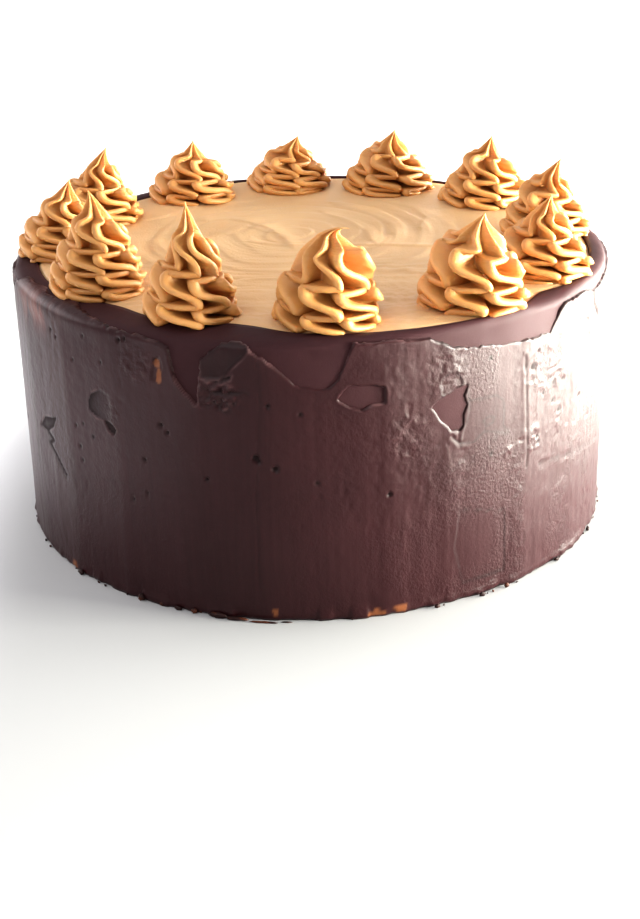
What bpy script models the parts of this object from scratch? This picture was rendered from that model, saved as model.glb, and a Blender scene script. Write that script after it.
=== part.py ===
"""Round layer cake in a poured dark chocolate coat, with a mocha top and twelve piped swirls.

Lengths are in metres. The origin is at the middle of the flat base, +Z is up,
and -Y is the side where the upper edge of the scraped coat is torn lowest.
Angles on plan are degrees from +X, so that -Y is at 270.
"""
import math

import bmesh
import bpy

# Cake drum with its smooth first coat
WALL_RADIUS = 0.1045
BASE_RADIUS = 0.1043
CAKE_COLUMNS = 80
FOOT_HEIGHT = 0.0014
FOOT_SPREAD = 0.0007
FOOT_TUCK = 0.0012
WALL_LEVELS = (0.0055, 0.0240, 0.0430, 0.0600)
SHOULDER_LEVEL = 0.0915
SECTION_LENGTH = 0.0990
SHOULDER_POWER = 0.8
RISE_STEPS = (0.35, 0.62, 0.84, 1.0)

# Second coat, scraped upright and torn off along its upper edge: plan angle, height up the section
SCRAPE_THICKNESS = 0.0009
SCRAPE_STEP = 0.0004
SCRAPE_EDGE = (
    (0.0, 0.0930), (22.0, 0.0915), (42.0, 0.0880), (58.0, 0.0930), (82.0, 0.0940),
    (98.0, 0.0870), (110.0, 0.0930), (130.0, 0.0945), (150.0, 0.0900), (166.0, 0.0940),
    (193.0, 0.0935), (200.0, 0.0965), (217.0, 0.0970), (229.0, 0.0945), (239.0, 0.0932),
    (245.0, 0.0905), (247.0, 0.0780), (250.2, 0.0740), (252.6, 0.0905), (257.0, 0.0942),
    (262.0, 0.0898), (267.0, 0.0812), (272.5, 0.0804), (275.5, 0.0920), (283.0, 0.0937),
    (292.7, 0.0905), (303.0, 0.0870), (317.0, 0.0848), (321.8, 0.0925), (334.0, 0.0930),
)

# Wavy line where the mocha top meets the coat: plan angle, radius
TOP_EDGE = (
    (0.0, 0.0980), (30.0, 0.0970), (60.0, 0.0995), (85.0, 0.0968), (107.0, 0.0970),
    (135.0, 0.0948), (160.0, 0.0975), (183.0, 0.0960), (205.0, 0.0965), (221.0, 0.0930),
    (229.0, 0.0915), (237.0, 0.0940), (247.0, 0.0985), (253.0, 0.0910), (259.0, 0.0925),
    (267.0, 0.0985), (275.0, 0.1005), (290.0, 0.1018), (303.0, 0.1022), (311.0, 0.1015),
    (319.0, 0.0970), (326.0, 0.1005), (340.0, 0.0995),
)
RECESS_FLOOR = 0.0900
PIECE_GAP = 0.0003

# Mocha buttercream top
TOP_LEVEL = 0.0956
TOP_RINGS = (0.93, 0.70, 0.52, 0.35, 0.18)
SPREAD_RELIEF = 0.0005
SPREAD_PITCH = 0.0260
SPREAD_LIMIT = 0.0660

# Piped swirls
SWIRL_FINS = 7
SWIRL_ROWS = 22
SWIRL_POWER = 2.1
SWIRL_PITCH_LIMIT = 0.0025
FIN_DEPTH = 0.43
FOLD_START = 0.20
FOLD_SIDEWAYS = 0.0060
FOLD_INWARDS = 0.0016
FOLD_SLOPE = 0.95
SLIM_OUTLINE = (
    (0.00, 0.00), (0.05, 0.04), (0.10, 0.08), (0.20, 0.18), (0.30, 0.32), (0.40, 0.46),
    (0.50, 0.58), (0.62, 0.73), (0.80, 0.92), (0.93, 1.00), (1.00, 0.97),
)
SQUAT_OUTLINE = (
    (0.00, 0.00), (0.05, 0.08), (0.10, 0.15), (0.20, 0.38), (0.30, 0.60), (0.40, 0.75),
    (0.50, 0.83), (0.62, 0.91), (0.80, 0.99), (0.93, 1.01), (1.00, 0.95),
)
SEAT_RINGS = (0.55,)

# Each swirl: plan angle, radius of its middle, height, width, slimness, turns, first fold angle,
# tip lean along X and Y
SWIRLS = (
    (122.9, 0.0840, 0.0218, 0.0355, 0.90, 3.0, 40.0, 0.0008, 0.0004),
    (95.0, 0.0850, 0.0198, 0.0350, 0.85, 3.3, 150.0, 0.0040, 0.0000),
    (67.9, 0.0862, 0.0222, 0.0385, 0.90, 3.1, 275.0, 0.0025, 0.0008),
    (39.0, 0.0880, 0.0245, 0.0358, 0.90, 3.0, 20.0, 0.0023, 0.0000),
    (5.1, 0.0856, 0.0265, 0.0335, 0.90, 3.3, 120.0, 0.0048, -0.0006),
    (332.6, 0.0868, 0.0256, 0.0360, 0.85, 3.4, 142.0, 0.0030, 0.0000),
    (304.7, 0.0885, 0.0284, 0.0365, 0.25, 3.1, 325.0, 0.0028, 0.0006),
    (273.7, 0.0856, 0.0305, 0.0345, 0.10, 2.9, 146.0, 0.0024, 0.0004),
    (244.4, 0.0868, 0.0360, 0.0315, 1.00, 3.2, 113.0, -0.0001, 0.0000),
    (215.0, 0.0852, 0.0330, 0.0330, 0.75, 3.9, 38.0, -0.0010, 0.0004),
    (183.0, 0.0866, 0.0258, 0.0345, 0.85, 3.4, 60.0, 0.0034, 0.0000),
    (153.8, 0.0885, 0.0270, 0.0338, 0.90, 3.1, 165.0, 0.0046, 0.0004),
)

# Chips in the coat: plan angle, height, half width, half height, depth, sides, turn
CHIPS = (
    (230.0, 0.0662, 0.0046, 0.0046, 0.0009, 12, 0.0),
    (278.2, 0.0763, 0.0072, 0.0042, 0.0009, 6, 0.0),
    (294.2, 0.0682, 0.0062, 0.0070, 0.0010, 4, 0.0),
)

COAT = bpy.data.materials.new("dark_chocolate_coat")
MOCHA = bpy.data.materials.new("mocha_buttercream")


def set_look(material, colour, roughness):
    """Give a material its base colour and roughness."""
    material.use_nodes = True
    shader = material.node_tree.nodes["Principled BSDF"]
    shader.inputs["Base Color"].default_value = (*colour, 1.0)
    shader.inputs["Roughness"].default_value = roughness
    shader.inputs["Metallic"].default_value = 0.0
    material.diffuse_color = (*colour, 1.0)


def interpolate(x, pairs):
    """Read a piecewise straight line given as (x, y) pairs."""
    if x <= pairs[0][0]:
        return pairs[0][1]
    for (x0, y0), (x1, y1) in zip(pairs, pairs[1:]):
        if x <= x1:
            return y0 + (y1 - y0) * (x - x0) / (x1 - x0)
    return pairs[-1][1]


def ease(t):
    """Smooth step between 0 and 1."""
    t = min(max(t, 0.0), 1.0)
    return t * t * (3.0 - 2.0 * t)


def read_round(angle, table):
    """Read a table of (plan angle, value) pairs that runs once round and closes."""
    closed = table + ((table[0][0] + 360.0, table[0][1]),)
    return interpolate(angle % 360.0, closed)


def wall_radius(angle, height):
    """Outer radius of the first coat: a slight taper with broad hand-smoothed waves."""
    a = math.radians(angle)
    taper = BASE_RADIUS + (WALL_RADIUS - BASE_RADIUS) * min(height / SHOULDER_LEVEL, 1.0)
    waves = 0.00030 * math.sin(3.0 * a + 0.6) + 0.00020 * math.sin(7.0 * a + 45.0 * height)
    return taper + waves


def first_coat(angle, along):
    """Point of the first coat as (radius, height), at a length up the wall and over the shoulder."""
    if along <= SHOULDER_LEVEL:
        return wall_radius(angle, along), along
    inner = read_round(angle, TOP_EDGE)
    turn = 0.5 * math.pi * (along - SHOULDER_LEVEL) / (SECTION_LENGTH - SHOULDER_LEVEL)
    width = wall_radius(angle, SHOULDER_LEVEL) - inner
    across = max(math.cos(turn), 0.0) ** SHOULDER_POWER
    rise = math.sin(turn) ** SHOULDER_POWER
    return inner + width * across, SHOULDER_LEVEL + (TOP_LEVEL - SHOULDER_LEVEL) * rise


def add_object(name, mesh_data, material, collection, angle=40.0):
    """Make a smooth shaded object from a finished bmesh."""
    mesh = bpy.data.meshes.new(name)
    bmesh.ops.recalc_face_normals(mesh_data, faces=mesh_data.faces)
    mesh_data.to_mesh(mesh)
    mesh_data.free()
    mesh.shade_smooth()
    mesh.set_sharp_from_angle(angle=math.radians(angle))
    mesh.materials.append(material)
    piece = bpy.data.objects.new(name, mesh)
    collection.objects.link(piece)
    return piece


def join_rings(shape, lower, upper):
    """Close the band of faces between two rings of the same count."""
    count = len(lower)
    for i in range(count):
        j = (i + 1) % count
        shape.faces.new((lower[i], lower[j], upper[j], upper[i]))


def cap_ring(shape, ring, point):
    """Close a ring with a fan to one middle point."""
    middle = shape.verts.new(point)
    for i in range(len(ring)):
        shape.faces.new((ring[i], ring[(i + 1) % len(ring)], middle))


def cake_section(angle):
    """One upright section of the cake, from the base edge up and over the shoulder to the recess."""
    a = math.radians(angle)
    ragged = 0.0004 * math.sin(13.0 * a) + 0.0004 * math.sin(29.0 * a + 1.0)
    foot = wall_radius(angle, 0.0) + SCRAPE_THICKNESS + FOOT_SPREAD + ragged
    section = [(foot - FOOT_TUCK, 0.0), (foot, FOOT_HEIGHT)]
    for level in WALL_LEVELS:
        section.append((wall_radius(angle, level) + SCRAPE_THICKNESS, level))
    edge = read_round(angle, SCRAPE_EDGE)
    radius, level = first_coat(angle, edge - SCRAPE_STEP)
    section.append((radius + SCRAPE_THICKNESS, level))
    for step in (0.0,) + RISE_STEPS:
        along = edge + SCRAPE_STEP + (SECTION_LENGTH - edge - SCRAPE_STEP) * step
        section.append(first_coat(angle, along))
    section.append((section[-1][0], RECESS_FLOOR))
    return section


def make_cake(collection):
    """Loft the coated cake from sections round its axis."""
    shape = bmesh.new()
    rings = None
    for column in range(CAKE_COLUMNS):
        angle = 360.0 * column / CAKE_COLUMNS
        a = math.radians(angle)
        section = cake_section(angle)
        if rings is None:
            rings = [[] for _ in section]
        for ring, (radius, level) in zip(rings, section):
            ring.append(shape.verts.new((radius * math.cos(a), radius * math.sin(a), level)))
    for lower, upper in zip(rings, rings[1:]):
        join_rings(shape, lower, upper)
    cap_ring(shape, rings[0], (0.0, 0.0, 0.0))
    cap_ring(shape, rings[-1], (0.0, 0.0, RECESS_FLOOR))
    return add_object("cake_body", shape, COAT, collection, 50.0)


def make_top(collection):
    """Loft the mocha top as a disc set in the recess, with a spiral of spreading marks."""
    shape = bmesh.new()
    rings = []
    levels = [(1.0, RECESS_FLOOR + PIECE_GAP), (1.0, TOP_LEVEL - 0.0004)]
    levels.append((0.985, TOP_LEVEL))
    levels.extend((fraction, TOP_LEVEL) for fraction in TOP_RINGS)
    for fraction, level in levels:
        ring = []
        for column in range(CAKE_COLUMNS):
            angle = 360.0 * column / CAKE_COLUMNS
            a = math.radians(angle)
            radius = (read_round(angle, TOP_EDGE) - PIECE_GAP - 0.0001) * fraction
            fade = ease((SPREAD_LIMIT - radius) / 0.010)
            turn = math.tau * radius / SPREAD_PITCH + 2.0 * a
            height = level + SPREAD_RELIEF * fade * math.sin(turn)
            ring.append(shape.verts.new((radius * math.cos(a), radius * math.sin(a), height)))
        rings.append(ring)
    for lower, upper in zip(rings, rings[1:]):
        join_rings(shape, lower, upper)
    cap_ring(shape, rings[0], (0.0, 0.0, RECESS_FLOOR + PIECE_GAP))
    cap_ring(shape, rings[-1], (0.0, 0.0, TOP_LEVEL))
    return add_object("mocha_top", shape, MOCHA, collection)


def swirl_point(s, fin_angle, peak, height, radius, slim, turns, first):
    """One point of a swirl, with s from 0 at the tip to 1 at the foot."""
    phase = math.radians(first) + math.tau * turns * s ** SWIRL_POWER - fin_angle
    grow = ease((s - FOLD_START) / 0.25)
    outline = slim * interpolate(s, SLIM_OUTLINE) + (1.0 - slim) * interpolate(s, SQUAT_OUTLINE)
    reach = radius * outline
    depth = 0.0 if peak else FIN_DEPTH
    inwards = FOLD_INWARDS * grow * (0.5 - 0.5 * math.cos(phase))
    sideways = FOLD_SIDEWAYS * grow * math.sin(phase) * math.sqrt(outline)
    r = max(reach * (1.0 - depth * ease(s / 0.1)) - inwards, 0.0001)
    a = fin_angle + sideways / max(reach, 0.004)
    pitch = height / (math.tau * turns * SWIRL_POWER * max(s, 0.15) ** (SWIRL_POWER - 1.0))
    settle = 1.0 - ease((s - 0.86) / 0.14)
    drop = FOLD_SLOPE * min(pitch, SWIRL_PITCH_LIMIT) * math.sin(phase) * grow * settle
    return r * math.cos(a), r * math.sin(a), height * (1.0 - s) - drop


def make_swirl(name, values, collection):
    """Loft one piped swirl of star sections, folded in layers and seated on the top."""
    bearing, ring_radius, height, width, slim, turns, first, lean_x, lean_y = values
    b = math.radians(bearing)
    centre_x = ring_radius * math.cos(b)
    centre_y = ring_radius * math.sin(b)
    seat = TOP_LEVEL + PIECE_GAP
    columns = 2 * SWIRL_FINS
    shape = bmesh.new()
    rings = []
    for row in range(1, SWIRL_ROWS + 1):
        s = row / SWIRL_ROWS
        bend = max((0.5 - s) / 0.5, 0.0) ** 2
        ring = []
        for column in range(columns):
            fin_angle = math.tau * column / columns
            peak = column % 2 == 0
            x, y, z = swirl_point(s, fin_angle, peak, height, 0.5 * width, slim, turns, first)
            x += centre_x + bend * lean_x
            y += centre_y + bend * lean_y
            ring.append(shape.verts.new((x, y, seat + z)))
        rings.append(ring)
    outline = [vert.co.copy() for vert in rings[-1]]
    for fraction in SEAT_RINGS:
        ring = []
        for point in outline:
            x = centre_x + (point.x - centre_x) * fraction
            y = centre_y + (point.y - centre_y) * fraction
            ring.append(shape.verts.new((x, y, seat)))
        rings.append(ring)
    for upper, lower in zip(rings, rings[1:]):
        join_rings(shape, lower, upper)
    cap_ring(shape, rings[0], (centre_x + lean_x, centre_y + lean_y, seat + height))
    cap_ring(shape, rings[-1], (centre_x, centre_y, seat))
    return add_object(name, shape, MOCHA, collection, 60.0)


def make_chip(name, values, collection):
    """Make the cutter of one shallow chip, a prism that narrows inwards along the radius."""
    bearing, level, half_width, half_height, depth, sides, turn = values
    b = math.radians(bearing)
    out = (math.cos(b), math.sin(b))
    side = (-math.sin(b), math.cos(b))
    wall = wall_radius(bearing, level) + SCRAPE_THICKNESS
    shape = bmesh.new()
    rings = []
    for radius, scale in ((wall - depth, 0.85), (wall + 0.0030, 1.25)):
        ring = []
        for i in range(sides):
            a = math.tau * i / sides + math.radians(turn)
            across = half_width * scale * math.cos(a)
            x = out[0] * radius + side[0] * across
            y = out[1] * radius + side[1] * across
            ring.append(shape.verts.new((x, y, level + half_height * scale * math.sin(a))))
        rings.append(ring)
    join_rings(shape, rings[0], rings[1])
    shape.faces.new(rings[0])
    shape.faces.new(rings[1])
    cutter = add_object(name, shape, COAT, collection)
    cutter.display_type = "WIRE"
    cutter.hide_render = True
    return cutter


for old in list(bpy.data.objects):
    bpy.data.objects.remove(old, do_unlink=True)

set_look(COAT, (0.040, 0.018, 0.017), 0.34)
set_look(MOCHA, (0.590, 0.290, 0.095), 0.48)

cake_collection = bpy.data.collections.new("mocha_layer_cake")
cutter_collection = bpy.data.collections.new("cutters")
bpy.context.scene.collection.children.link(cake_collection)
bpy.context.scene.collection.children.link(cutter_collection)

cake = make_cake(cake_collection)
for number, chip in enumerate(CHIPS, start=1):
    cutter = make_chip("chip_cutter_%d" % number, chip, cutter_collection)
    cut = cake.modifiers.new("chip_%d" % number, "BOOLEAN")
    cut.operation = "DIFFERENCE"
    cut.solver = "EXACT"
    cut.object = cutter

make_top(cake_collection)
for number, swirl_values in enumerate(SWIRLS, start=1):
    make_swirl("swirl_%02d" % number, swirl_values, cake_collection)
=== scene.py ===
import math

import bpy
import numpy as np
from mathutils import Matrix, Vector


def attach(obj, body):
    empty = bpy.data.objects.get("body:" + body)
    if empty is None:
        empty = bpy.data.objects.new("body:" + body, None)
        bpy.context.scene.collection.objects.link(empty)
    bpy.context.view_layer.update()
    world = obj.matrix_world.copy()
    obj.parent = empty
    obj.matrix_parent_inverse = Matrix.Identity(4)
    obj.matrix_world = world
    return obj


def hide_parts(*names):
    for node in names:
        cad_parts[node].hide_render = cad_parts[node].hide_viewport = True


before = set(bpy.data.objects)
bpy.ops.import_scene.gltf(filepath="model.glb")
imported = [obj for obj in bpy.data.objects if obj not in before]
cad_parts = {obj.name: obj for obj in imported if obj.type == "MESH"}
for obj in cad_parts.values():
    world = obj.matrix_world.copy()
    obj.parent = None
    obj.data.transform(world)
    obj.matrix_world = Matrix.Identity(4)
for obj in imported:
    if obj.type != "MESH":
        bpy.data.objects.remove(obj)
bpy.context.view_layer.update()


# The poured first coat. A thin dark ganache covers the whole drum and runs over its top edge,
# where it ends in a wavy line against the mocha. It shows above the torn edge and in the chips.

ROUND = 2.0 * math.pi
WALL_RADIUS = 0.1045
BASE_RADIUS = 0.1043
SHOULDER_LEVEL = 0.0915
TOP_LEVEL = 0.0956
SECTION_LENGTH = 0.0990
SHOULDER_POWER = 0.8
BROAD_WAVE = 0.00030
SHORT_WAVE = 0.00020
RECESS_FLOOR = 0.0900
PIECE_GAP = 0.0003
SMOOTH_BOTTOM = 0.052
SMOOTH_COLUMNS = 480

# Where the coat ends on top: degrees round the cake, radius
TOP_EDGE = (
    (0.0, 0.0980), (30.0, 0.0970), (60.0, 0.0995), (85.0, 0.0968), (107.0, 0.0970),
    (135.0, 0.0948), (160.0, 0.0975), (183.0, 0.0960), (205.0, 0.0965), (221.0, 0.0930),
    (229.0, 0.0915), (237.0, 0.0940), (247.0, 0.0985), (253.0, 0.0910), (259.0, 0.0925),
    (267.0, 0.0985), (275.0, 0.1005), (290.0, 0.1018), (303.0, 0.1022), (311.0, 0.1015),
    (319.0, 0.0970), (326.0, 0.1005), (340.0, 0.0995),
)


def ease(t):
    """Smooth step: 3t^2 - 2t^3 between 0 and 1, and flat outside them."""
    t = np.clip(t, 0.0, 1.0)
    return t * t * (3.0 - 2.0 * t)


def read_round(turn, table, soften):
    """A table of (degrees, value) pairs closed round the cake: straight lines between the pairs,
    then a weighted mean over `soften` degrees each way."""
    degrees, values = np.array(table).T
    fine = np.arange(0.0, 360.0, 0.25)
    read = np.interp(fine, degrees, values, period=360.0)
    reach = int(4 * soften)
    weights = np.hanning(2 * reach + 3)[1:-1]
    read = np.convolve(np.concatenate([read[-reach:], read, read[:reach]]), weights / weights.sum(), "valid")
    return np.interp(np.degrees(turn), fine, read, period=360.0)


def hills(x, y, seed, closes=64):
    """Smooth random hills between -1 and 1: random heights on a lattice of unit cells, eased from
    point to point. Along x the lattice closes on itself after a whole number of cells."""
    lattice = np.random.default_rng(seed).uniform(-1.0, 1.0, (closes, 64))
    x, y = np.broadcast_arrays(x, y)
    i, j = np.floor(x).astype(int), np.floor(y).astype(int)
    a, b = ease(x - i), ease(y - j)
    left = lattice[i % closes, j % 64] * (1.0 - b) + lattice[i % closes, (j + 1) % 64] * b
    right = lattice[(i + 1) % closes, j % 64] * (1.0 - b) + lattice[(i + 1) % closes, (j + 1) % 64] * b
    return left * (1.0 - a) + right * a


def wall_hills(turn, along, wide, tall, seed):
    """Hills on the wall, with cells so wide round the cake and so tall up it."""
    cells = int(round(ROUND * WALL_RADIUS / wide))
    return hills(turn / ROUND * cells, along / tall, seed, cells)


def wall_layers(turn, along, *layers):
    """Sum of layers of wall hills, each given as height, cell width, cell height and seed."""
    return sum(height * wall_hills(turn, along, wide, tall, seed) for height, wide, tall, seed in layers)


def coat_section(turn, along):
    """Radius and height on the first coat, at a length up the wall: a slightly tapered wall with
    broad waves, then a rounded shoulder that is a flattened quarter turn in to the top edge."""
    level = np.minimum(along, SHOULDER_LEVEL)
    wall = BASE_RADIUS + (WALL_RADIUS - BASE_RADIUS) * level / SHOULDER_LEVEL
    wall = wall + BROAD_WAVE * np.sin(3.0 * turn + 0.6) + SHORT_WAVE * np.sin(7.0 * turn + 45.0 * level)
    inner = read_round(turn, TOP_EDGE, 3.0)
    past = np.clip((along - SHOULDER_LEVEL) / (SECTION_LENGTH - SHOULDER_LEVEL), 0.0, 1.0)
    across = np.maximum(np.cos(0.5 * math.pi * past), 0.0) ** SHOULDER_POWER
    rise = np.sin(0.5 * math.pi * past) ** SHOULDER_POWER
    return inner + (wall - inner) * across, level + (TOP_LEVEL - SHOULDER_LEVEL) * rise


def coat_points(turn, along, proud):
    """Points of a coat that stands so far proud of the first coat, measured square to it."""
    step = 0.0004
    radius, height = coat_section(turn, along)
    before = coat_section(turn, along - step)
    after = coat_section(turn, along + step)
    out, up = after[1] - before[1], before[0] - after[0]
    length = np.maximum(np.hypot(out, up), 1e-6)
    radius = radius + proud * out / length
    height = height + proud * up / length
    return np.stack([radius * np.cos(turn), radius * np.sin(turn), height + 0.0 * turn], axis=-1)


def add_object(name, data):
    """A new object in the scene that shows the given mesh, light or camera."""
    thing = bpy.data.objects.new(name, data)
    bpy.context.scene.collection.objects.link(thing)
    return thing


def skin(name, rings, start, end):
    """Closed surface over a grid of points: each row is a ring, each ring joins the next one,
    and the first and last rings close in fans on a point each."""
    rows, columns = rings.shape[:2]
    here = np.arange(rows * columns).reshape(rows, columns)
    right = np.roll(here, -1, axis=1)
    quads = np.stack([here[:-1], right[:-1], right[1:], here[1:]], axis=-1).reshape(-1, 4)
    low = np.stack([right[0], here[0], np.full(columns, rows * columns)], axis=-1)
    high = np.stack([here[-1], right[-1], np.full(columns, rows * columns + 1)], axis=-1)
    points = np.concatenate([rings.reshape(-1, 3), [start], [end]])
    mesh = bpy.data.meshes.new(name)
    mesh.from_pydata(points.tolist(), [], quads.tolist() + low.tolist() + high.tolist())
    mesh.shade_smooth()
    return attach(add_object(name, mesh), "root")


def keep_value(piece, name, values):
    """Store one number for each point of the grid, with 0 for the two closing points."""
    held = np.append(values, (0.0, 0.0)).astype(np.float32)
    piece.data.attributes.new(name, "FLOAT", "POINT").data.foreach_set("value", held)


def feed(tree, socket, value):
    """Link a shader socket, or set it where a plain value is given."""
    if isinstance(value, bpy.types.NodeSocket):
        tree.links.new(value, socket)
    else:
        socket.default_value = value


def put(tree, kind, inputs=(), **settings):
    """Add a shader node with its settings, and feed its inputs by name."""
    made = tree.nodes.new(kind)
    for name, value in settings.items():
        setattr(made, name, value)
    for name, value in dict(inputs).items():
        feed(tree, made.inputs[name], value)
    return made


def calculate(tree, operation, *values):
    """Work out one step of arithmetic on sockets and plain numbers."""
    made = put(tree, "ShaderNodeMath", operation=operation)
    for socket, value in zip(made.inputs, values):
        feed(tree, socket, value)
    return made.outputs[0]


def ranged(tree, value, low, high, start=0.0, end=1.0):
    """Carry a pattern's value from the range start to end over to the range low to high."""
    limits = {"From Min": start, "From Max": end, "To Min": low, "To Max": high}
    return put(tree, "ShaderNodeMapRange", {"Value": value, **limits}).outputs[0]


def new_group(name, inputs, outputs):
    """Start a node group with named number inputs and outputs, and return its tree and both ends."""
    tree = bpy.data.node_groups.new(name, "ShaderNodeTree")
    for title, value in inputs:
        tree.interface.new_socket(title, in_out="INPUT", socket_type="NodeSocketFloat").default_value = value
    for title in outputs:
        tree.interface.new_socket(title, in_out="OUTPUT", socket_type="NodeSocketFloat")
    return tree, tree.nodes.new("NodeGroupInput").outputs, tree.nodes.new("NodeGroupOutput").inputs


def use_group(tree, group, inputs):
    """Place a node group in a material with its own values."""
    return put(tree, "ShaderNodeGroup", inputs, node_tree=group).outputs


def new_material(name):
    """Start a material and return its tree and its surface shader."""
    material = bpy.data.materials.new(name)
    material.use_nodes = True
    tree = material.node_tree
    return material, tree, tree.nodes["Principled BSDF"]


def blend_colours(tree, share, low, high):
    """Mix two colours by a share that changes over the surface."""
    made = put(tree, "ShaderNodeMix", data_type="RGBA")
    tree.links.new(share, made.inputs[0])
    for socket, colour in ((made.inputs[6], low), (made.inputs[7], high)):
        feed(tree, socket, (*colour, 1.0) if isinstance(colour, tuple) else colour)
    return made.outputs[2]


def dress(tree, shader, colour, sheen, relief, strength):
    """Give a surface its colour, its roughness, and a fine relief up to 0.3 mm high as a bump."""
    bump = put(tree, "ShaderNodeBump", {"Height": relief, "Strength": strength, "Distance": 0.0003})
    tree.links.new(colour, shader.inputs["Base Color"])
    tree.links.new(sheen, shader.inputs["Roughness"])
    tree.links.new(bump.outputs[0], shader.inputs["Normal"])


# Ganache finish for the coats and crumbs: cloudy patches, upright streaks and a fine grain
ganache, given, result = new_group(
    "ganache_finish",
    (("Cloud Size", 30.0), ("Streak Size", 500.0), ("Streak Height", 0.04), ("Grain Size", 1500.0)),
    ("Clouds", "Streaks", "Grain"))
place = put(ganache, "ShaderNodeTexCoord").outputs["Object"]
cloud = put(ganache, "ShaderNodeTexNoise", {"Vector": place, "Scale": given["Cloud Size"], "Detail": 4.0,
                                            "Roughness": 0.6})
upright = put(ganache, "ShaderNodeCombineXYZ", {"X": 1.0, "Y": 1.0, "Z": given["Streak Height"]})
drawn = put(ganache, "ShaderNodeVectorMath", operation="MULTIPLY")
ganache.links.new(place, drawn.inputs[0])
ganache.links.new(upright.outputs[0], drawn.inputs[1])
streak = put(ganache, "ShaderNodeTexNoise", {"Vector": drawn.outputs[0], "Scale": given["Streak Size"],
                                             "Detail": 5.0, "Roughness": 0.65})
grain = put(ganache, "ShaderNodeTexNoise", {"Vector": place, "Scale": given["Grain Size"], "Detail": 3.0,
                                            "Roughness": 0.6})
for title, made in (("Clouds", cloud), ("Streaks", streak), ("Grain", grain)):
    ganache.links.new(made.outputs[0], result[title])

SMOOTH_DARK = (0.0375, 0.0128, 0.0145)
SMOOTH_LIGHT = (0.0470, 0.0185, 0.0215)

smooth_look, tree, shader = new_material("poured_ganache")
finish = use_group(tree, ganache, {"Cloud Size": 60.0, "Streak Size": 160.0, "Streak Height": 0.6,
                                   "Grain Size": 2200.0})
colour = blend_colours(tree, finish["Clouds"], SMOOTH_DARK, SMOOTH_LIGHT)
sheen = ranged(tree, finish["Streaks"], 0.50, 0.66)
dress(tree, shader, colour, sheen, finish["Grain"], 0.20)
shader.inputs["Specular IOR Level"].default_value = 0.12

turn = np.linspace(0.0, ROUND, SMOOTH_COLUMNS, endpoint=False)[None, :]
low, high = np.linspace(SMOOTH_BOTTOM, 0.088, 24), np.linspace(0.0888, SECTION_LENGTH, 22)
along = np.concatenate([low, high])[:, None]
hand = wall_layers(turn, along, (0.00016, 0.014, 0.010, 11), (0.00008, 0.005, 0.004, 12))
hand = hand * ease((SECTION_LENGTH - along) / 0.003)
rings = coat_points(turn, along, hand)

# The edge turns down into the recess, and a hidden disc closes the coat under the mocha
lip = rings[-1] * (0.9975, 0.9975, 0.0) + (0.0, 0.0, TOP_LEVEL - 0.0005)
well = rings[-1] * (0.9965, 0.9965, 0.0) + (0.0, 0.0, RECESS_FLOOR)
rings = np.concatenate([rings, lip[None], well[None]])
smooth_coat = skin("smooth_coat", rings, (0.0, 0.0, SMOOTH_BOTTOM), (0.0, 0.0, RECESS_FLOOR))
smooth_coat.data.materials.append(smooth_look)


# The scraped second coat. A thicker ganache is spread on the wall and drawn upright with a
# scraper, which leaves streaks and plates. It is torn along its top, chipped, and ragged below.

MILLIMETRE = 0.001
DEGREE_LENGTH = WALL_RADIUS * math.pi / 180.0
THINNEST = 0.00025
SUNK = 0.0016
COAT_LID = 0.0885

# Torn upper edge: degrees round the cake, millimetres up the wall
TORN_EDGE = (
    (0.0, 93.0), (9.0, 92.4), (14.0, 90.2), (22.0, 91.5), (31.0, 91.0), (38.0, 86.6), (42.0, 88.0),
    (49.0, 92.0), (58.0, 93.0), (70.0, 94.4), (82.0, 94.0), (91.0, 90.6), (96.0, 85.9), (101.0, 87.8),
    (110.0, 93.0), (121.0, 95.0), (130.0, 94.5), (143.0, 92.4), (150.0, 88.6), (157.0, 92.0),
    (166.0, 94.0), (178.0, 92.2), (187.0, 93.0), (193.1, 89.5), (198.2, 94.5), (200.0, 96.6),
    (206.7, 97.4), (212.3, 96.4), (217.0, 97.6), (223.1, 96.3), (229.0, 94.7), (231.7, 94.0),
    (234.1, 93.7), (239.2, 93.4), (242.7, 92.5), (245.2, 90.9), (245.9, 83.5), (247.4, 78.4),
    (250.1, 73.6), (250.4, 82.9), (251.0, 87.3), (252.5, 90.7), (254.6, 93.4), (256.8, 94.4),
    (258.9, 93.6), (260.0, 91.8), (261.9, 89.9), (264.3, 85.9), (267.0, 81.1), (270.6, 79.8),
    (272.5, 80.4), (274.2, 82.9), (275.1, 88.1), (276.0, 92.3), (276.6, 94.6), (279.9, 93.4),
    (282.5, 94.0), (286.7, 92.9), (289.7, 93.2), (292.7, 90.5), (295.0, 89.2), (298.9, 87.3),
    (303.2, 87.0), (307.8, 85.9), (312.8, 85.1), (314.2, 85.3), (317.1, 84.7), (318.1, 87.1),
    (320.0, 91.2), (321.8, 92.6), (326.3, 92.8), (329.3, 93.0), (333.7, 90.1), (345.0, 92.0),
)
# How far the second coat stands proud: degrees, millimetres
COAT_THICKNESS = (
    (0.0, 0.95), (60.0, 0.90), (120.0, 0.85), (175.0, 0.90), (190.0, 0.85), (206.0, 0.75), (216.0, 0.75),
    (232.0, 0.80), (243.0, 1.05), (250.0, 1.30), (262.0, 1.10), (278.0, 0.85), (292.0, 0.60), (310.0, 0.80),
    (335.0, 1.00),
)
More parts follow.
